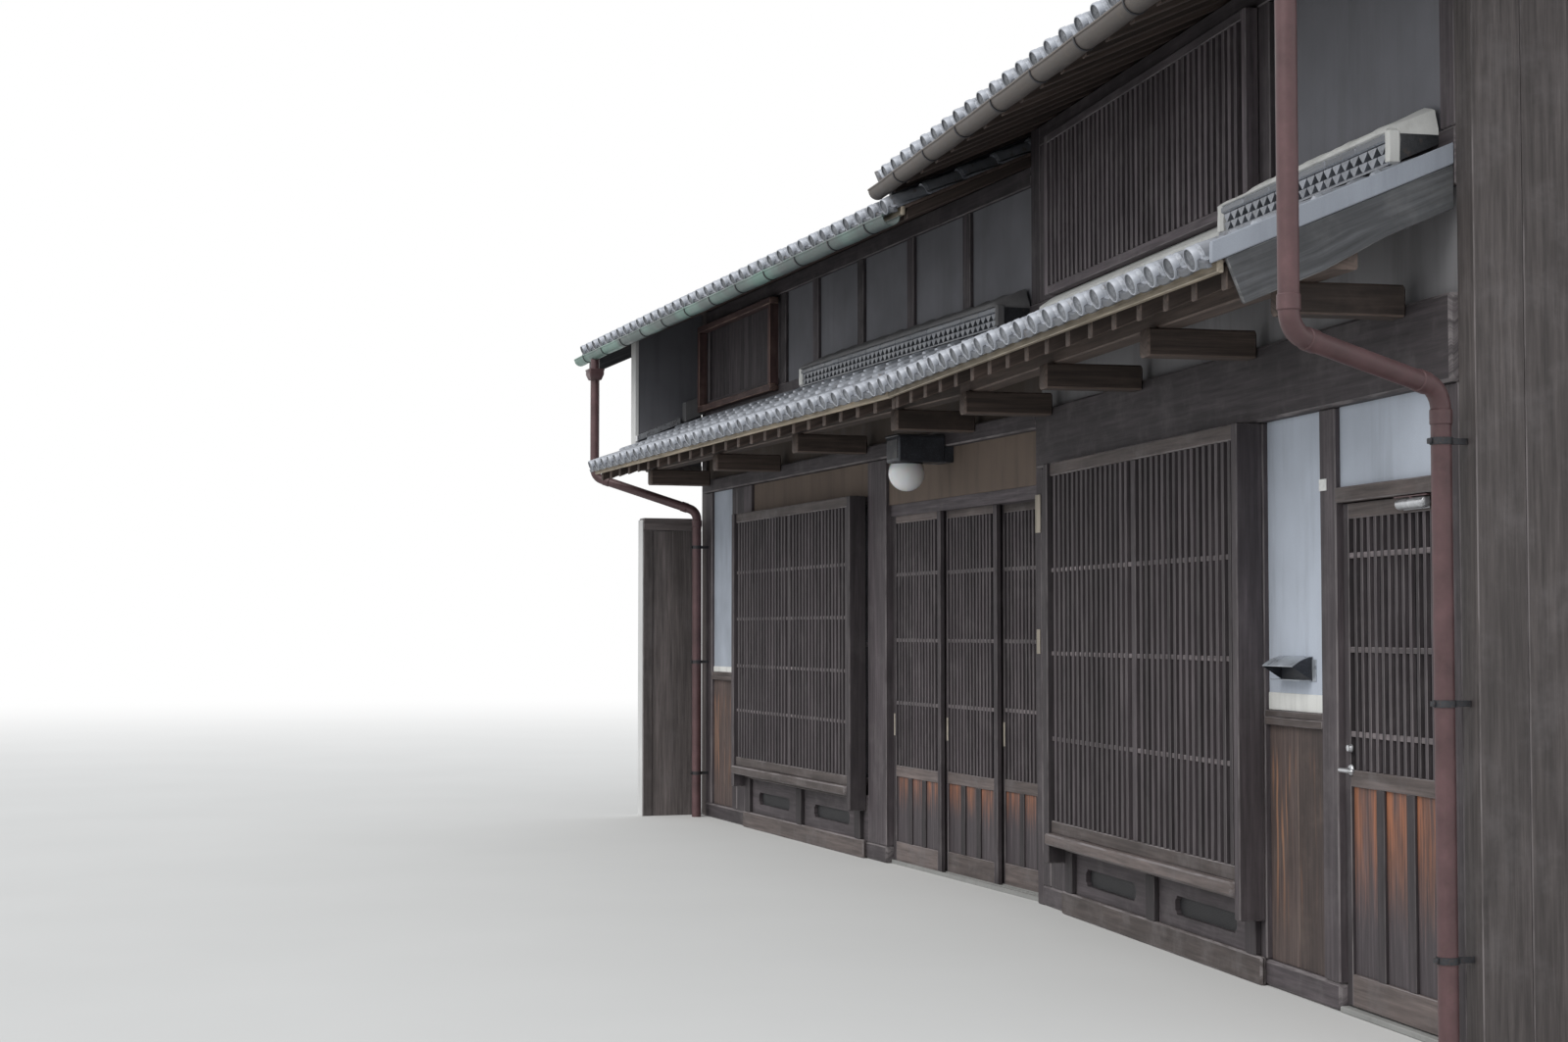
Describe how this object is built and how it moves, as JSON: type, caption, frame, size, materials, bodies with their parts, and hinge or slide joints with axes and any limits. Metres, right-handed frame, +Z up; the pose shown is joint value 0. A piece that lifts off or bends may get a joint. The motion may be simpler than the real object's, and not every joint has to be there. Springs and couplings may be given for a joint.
{
  "type": "timber townhouse",
  "caption": "Old street townhouse of dark timber with lattice windows, sliding lattice entry doors, a side door, a tiled pent roof and tiled upper roofs.",
  "frame": {"origin": "on the ground, in the middle of the foot of the post where the front bends", "axes": "+X to the right along the left wing's front, +Y into the house, +Z up"},
  "size_m": [13.4719, 9.7034, 6.315],
  "materials": {
    "board_siding": "weathered vertical boards",
    "brown_clay": "brown clay plaster",
    "brown_pipe": "maroon-brown paint",
    "dark_timber": "weathered dark stained timber",
    "eave_timber": "weathered softwood",
    "green_copper": "copper with green patina",
    "grey_copper": "dull grey-brown metal",
    "grey_metal": "dull grey metal",
    "grey_plaster": "grey plaster",
    "opal_glass": "white opal",
    "pale_plaster": "pale blue-grey plaster",
    "plate_wood": "bare pale wood",
    "red_timber": "red-brown stained timber",
    "smoked_tile": "silver-grey smoked tile",
    "stone": "rough stone",
    "weathered_boards": "worn boards with open grain",
    "window_glass": "dark panes in timber sashes"
  },
  "bodies": {
    "house": {"back_walls": "board_siding", "back_windows": "window_glass", "clay_walls": "brown_clay", "dado_boards": "weathered_boards", "downspout_left": "brown_pipe", "downspout_right": "brown_pipe", "entry_head_rail": "dark_timber", "entry_jambs": "dark_timber", "entry_threshold": "stone", "front_posts": "dark_timber", "ground_beams": "dark_timber", "ground_floor": "stone", "gutter_left": "green_copper", "gutter_right": "grey_copper", "head_beam_left": "dark_timber", "head_beam_right": "dark_timber", "lamp_box": "dark_timber", "lamp_globe": "opal_glass", "lattice_base_left": "dark_timber", "lattice_base_right": "dark_timber", "lattice_window_left": "dark_timber", "lattice_window_right": "dark_timber", "left_wall": "board_siding", "mail_hood": "grey_metal", "name_plates": "plate_wood", "party_wall": "board_siding", "pent_brackets_left": "dark_timber", "pent_brackets_right": "dark_timber", "pent_frame_left": "eave_timber", "pent_frame_right": "eave_timber", "pent_tiles_left": "smoked_tile", "pent_tiles_right": "smoked_tile", "plaster_panels": "pale_plaster", "ridges": "smoked_tile", "right_wall": "board_siding", "roof_frame_left": "eave_timber", "roof_frame_right": "eave_timber", "roof_frames_back": "eave_timber", "roof_tiles_back": "smoked_tile", "roof_tiles_left": "smoked_tile", "roof_tiles_right": "smoked_tile", "shutter_window": "red_timber", "side_door_frame": "dark_timber", "sleeve_walls": "board_siding", "tile_bands": "smoked_tile", "upper_floor": "eave_timber", "upper_frame_left": "dark_timber", "upper_frame_right": "dark_timber", "upper_infill": "pale_plaster", "upper_lattice": "dark_timber", "upper_plaster": "grey_plaster", "verge_boards": "weathered_boards", "window_sashes": "window_glass"},
    "entry_door_left": {"entry_door_left": "dark_timber"},
    "entry_door_middle": {"entry_door_middle": "dark_timber"},
    "entry_door_right": {"entry_door_right": "dark_timber"},
    "side_door": {"side_door": "dark_timber", "door_lever": "grey_metal", "door_closer": "grey_metal"}
  },
  "joints": [
    {"name": "entry_left_slide", "type": "slide", "parent": "house", "child": "entry_door_left", "axis": [1, 0, 0], "range_m": [0, 1.52]},
    {"name": "entry_middle_slide", "type": "slide", "parent": "house", "child": "entry_door_middle", "axis": [1, 0, 0], "range_m": [-0.76, 0.76]},
    {"name": "entry_right_slide", "type": "slide", "parent": "house", "child": "entry_door_right", "axis": [1, 0, 0], "range_m": [-1.52, 0]},
    {"name": "side_door_swing", "type": "hinge", "parent": "house", "child": "side_door", "pos_m": [4.5227, -0.5326, 0], "axis": [0, 0, 1], "range_deg": [0, 95]}
  ]
}
